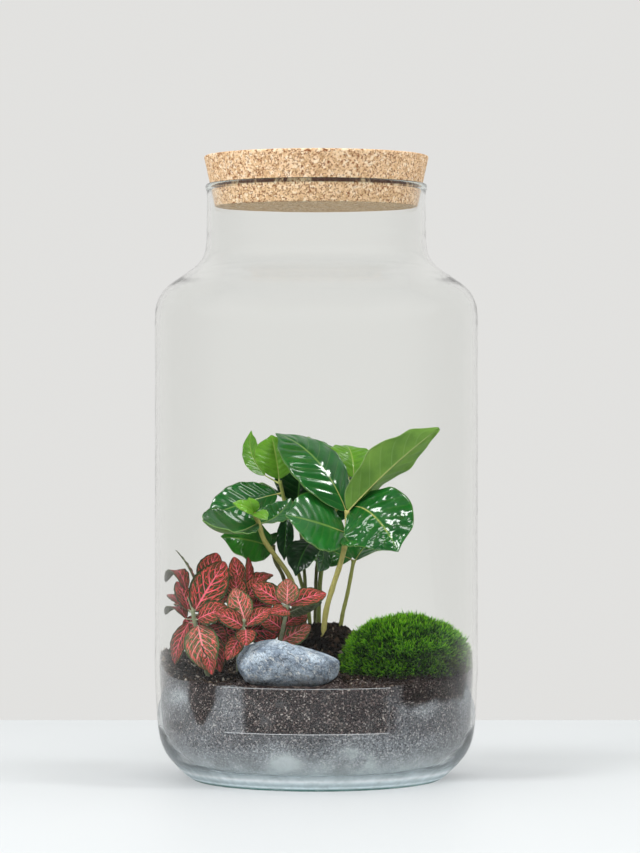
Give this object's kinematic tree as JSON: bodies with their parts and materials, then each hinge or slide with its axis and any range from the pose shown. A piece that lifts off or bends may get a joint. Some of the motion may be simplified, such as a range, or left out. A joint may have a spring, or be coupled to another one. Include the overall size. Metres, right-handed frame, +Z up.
{
  "type": "glass plant terrarium",
  "caption": "Shouldered glass jar with a tapered cork stopper, holding coffee seedlings, nerve plants, a moss cushion and a stone on a soil bed.",
  "frame": {"origin": "centre of the jar's foot, on the surface that it stands on", "axes": "+Z up along the jar's axis, front along -Y, +X to the right seen from the front"},
  "size_m": [0.1794, 0.1796, 0.3467],
  "materials": {
    "jar_glass": "clear blown glass with a faint green tint",
    "cork": "pressed cork with brown grains",
    "label_film": "bare clear film",
    "soil": "dark potting soil with pale grains",
    "root_plug": "dark crumbly root ball",
    "grey_stone": "rough blue-grey stone with pale mottling",
    "moss": "short upright moss",
    "coffee_leaf": "glossy green leaves on pale stems",
    "fittonia_leaf": "dark green leaves netted with coral veins"
  },
  "bodies": {
    "root": {"glass_jar": "jar_glass", "cork_stopper": "cork", "blank_label": "label_film", "soil_bed": "soil", "coffee_root_plug": "root_plug", "stone": "grey_stone", "moss_cushion": "moss", "coffee_seedling_1": "coffee_leaf", "coffee_seedling_2": "coffee_leaf", "coffee_seedling_3": "coffee_leaf", "coffee_seedling_4": "coffee_leaf", "coffee_seedling_5": "coffee_leaf", "coffee_seedling_6": "coffee_leaf", "coffee_seedling_7": "coffee_leaf", "coffee_seedling_8": "coffee_leaf", "fittonia_plant_1": "fittonia_leaf", "fittonia_plant_2": "fittonia_leaf", "fittonia_plant_3": "fittonia_leaf", "fittonia_plant_4": "fittonia_leaf", "fittonia_plant_5": "fittonia_leaf"}
  },
  "joints": []
}
